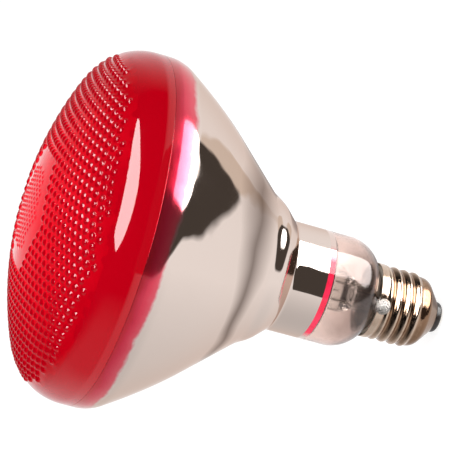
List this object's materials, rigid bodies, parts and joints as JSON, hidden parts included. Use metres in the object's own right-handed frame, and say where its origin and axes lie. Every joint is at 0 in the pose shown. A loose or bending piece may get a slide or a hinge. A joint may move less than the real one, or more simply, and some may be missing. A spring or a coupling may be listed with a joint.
{
  "type": "infrared heat lamp bulb",
  "caption": "Red reflector heat lamp with a beaded domed lens, a mirrored parabolic glass bowl, a clear neck and a rolled screw cap with a side solder.",
  "frame": {"origin": "end of the contact solder, on the lamp's axis", "axes": "+Z along the lamp's axis from the contact to the lens; +X towards the side solder, 5 degrees off it"},
  "size_m": [0.122, 0.122, 0.1516],
  "materials": {
    "red_lens": "pressed glass, stained red, glossy",
    "mirrored_glass": "clear glass, vapour mirrored inside its bowl",
    "cap_metal": "nickel plated brass sheet, rolled",
    "black_glass": "black glass, pressed, half gloss",
    "contact_brass": "plain",
    "solder": "tin solder, bright, lumpy",
    "cement": "matt cement",
    "stem_glass": "clear lead glass",
    "shield": "plain sheet",
    "lead_wire": "nickel wire",
    "filament_wire": "drawn tungsten"
  },
  "bodies": {
    "root": {"front_lens": "red_lens", "reflector": "mirrored_glass", "screw_shell": "cap_metal", "insulator": "black_glass", "centre_contact": "contact_brass", "contact_solder": "solder", "side_solder": "solder", "basing_cement": "cement", "stem": "stem_glass", "heat_shield": "shield", "lead_centre": "lead_wire", "lead_side": "lead_wire", "filament_support": "lead_wire", "filament": "filament_wire"}
  },
  "joints": []
}
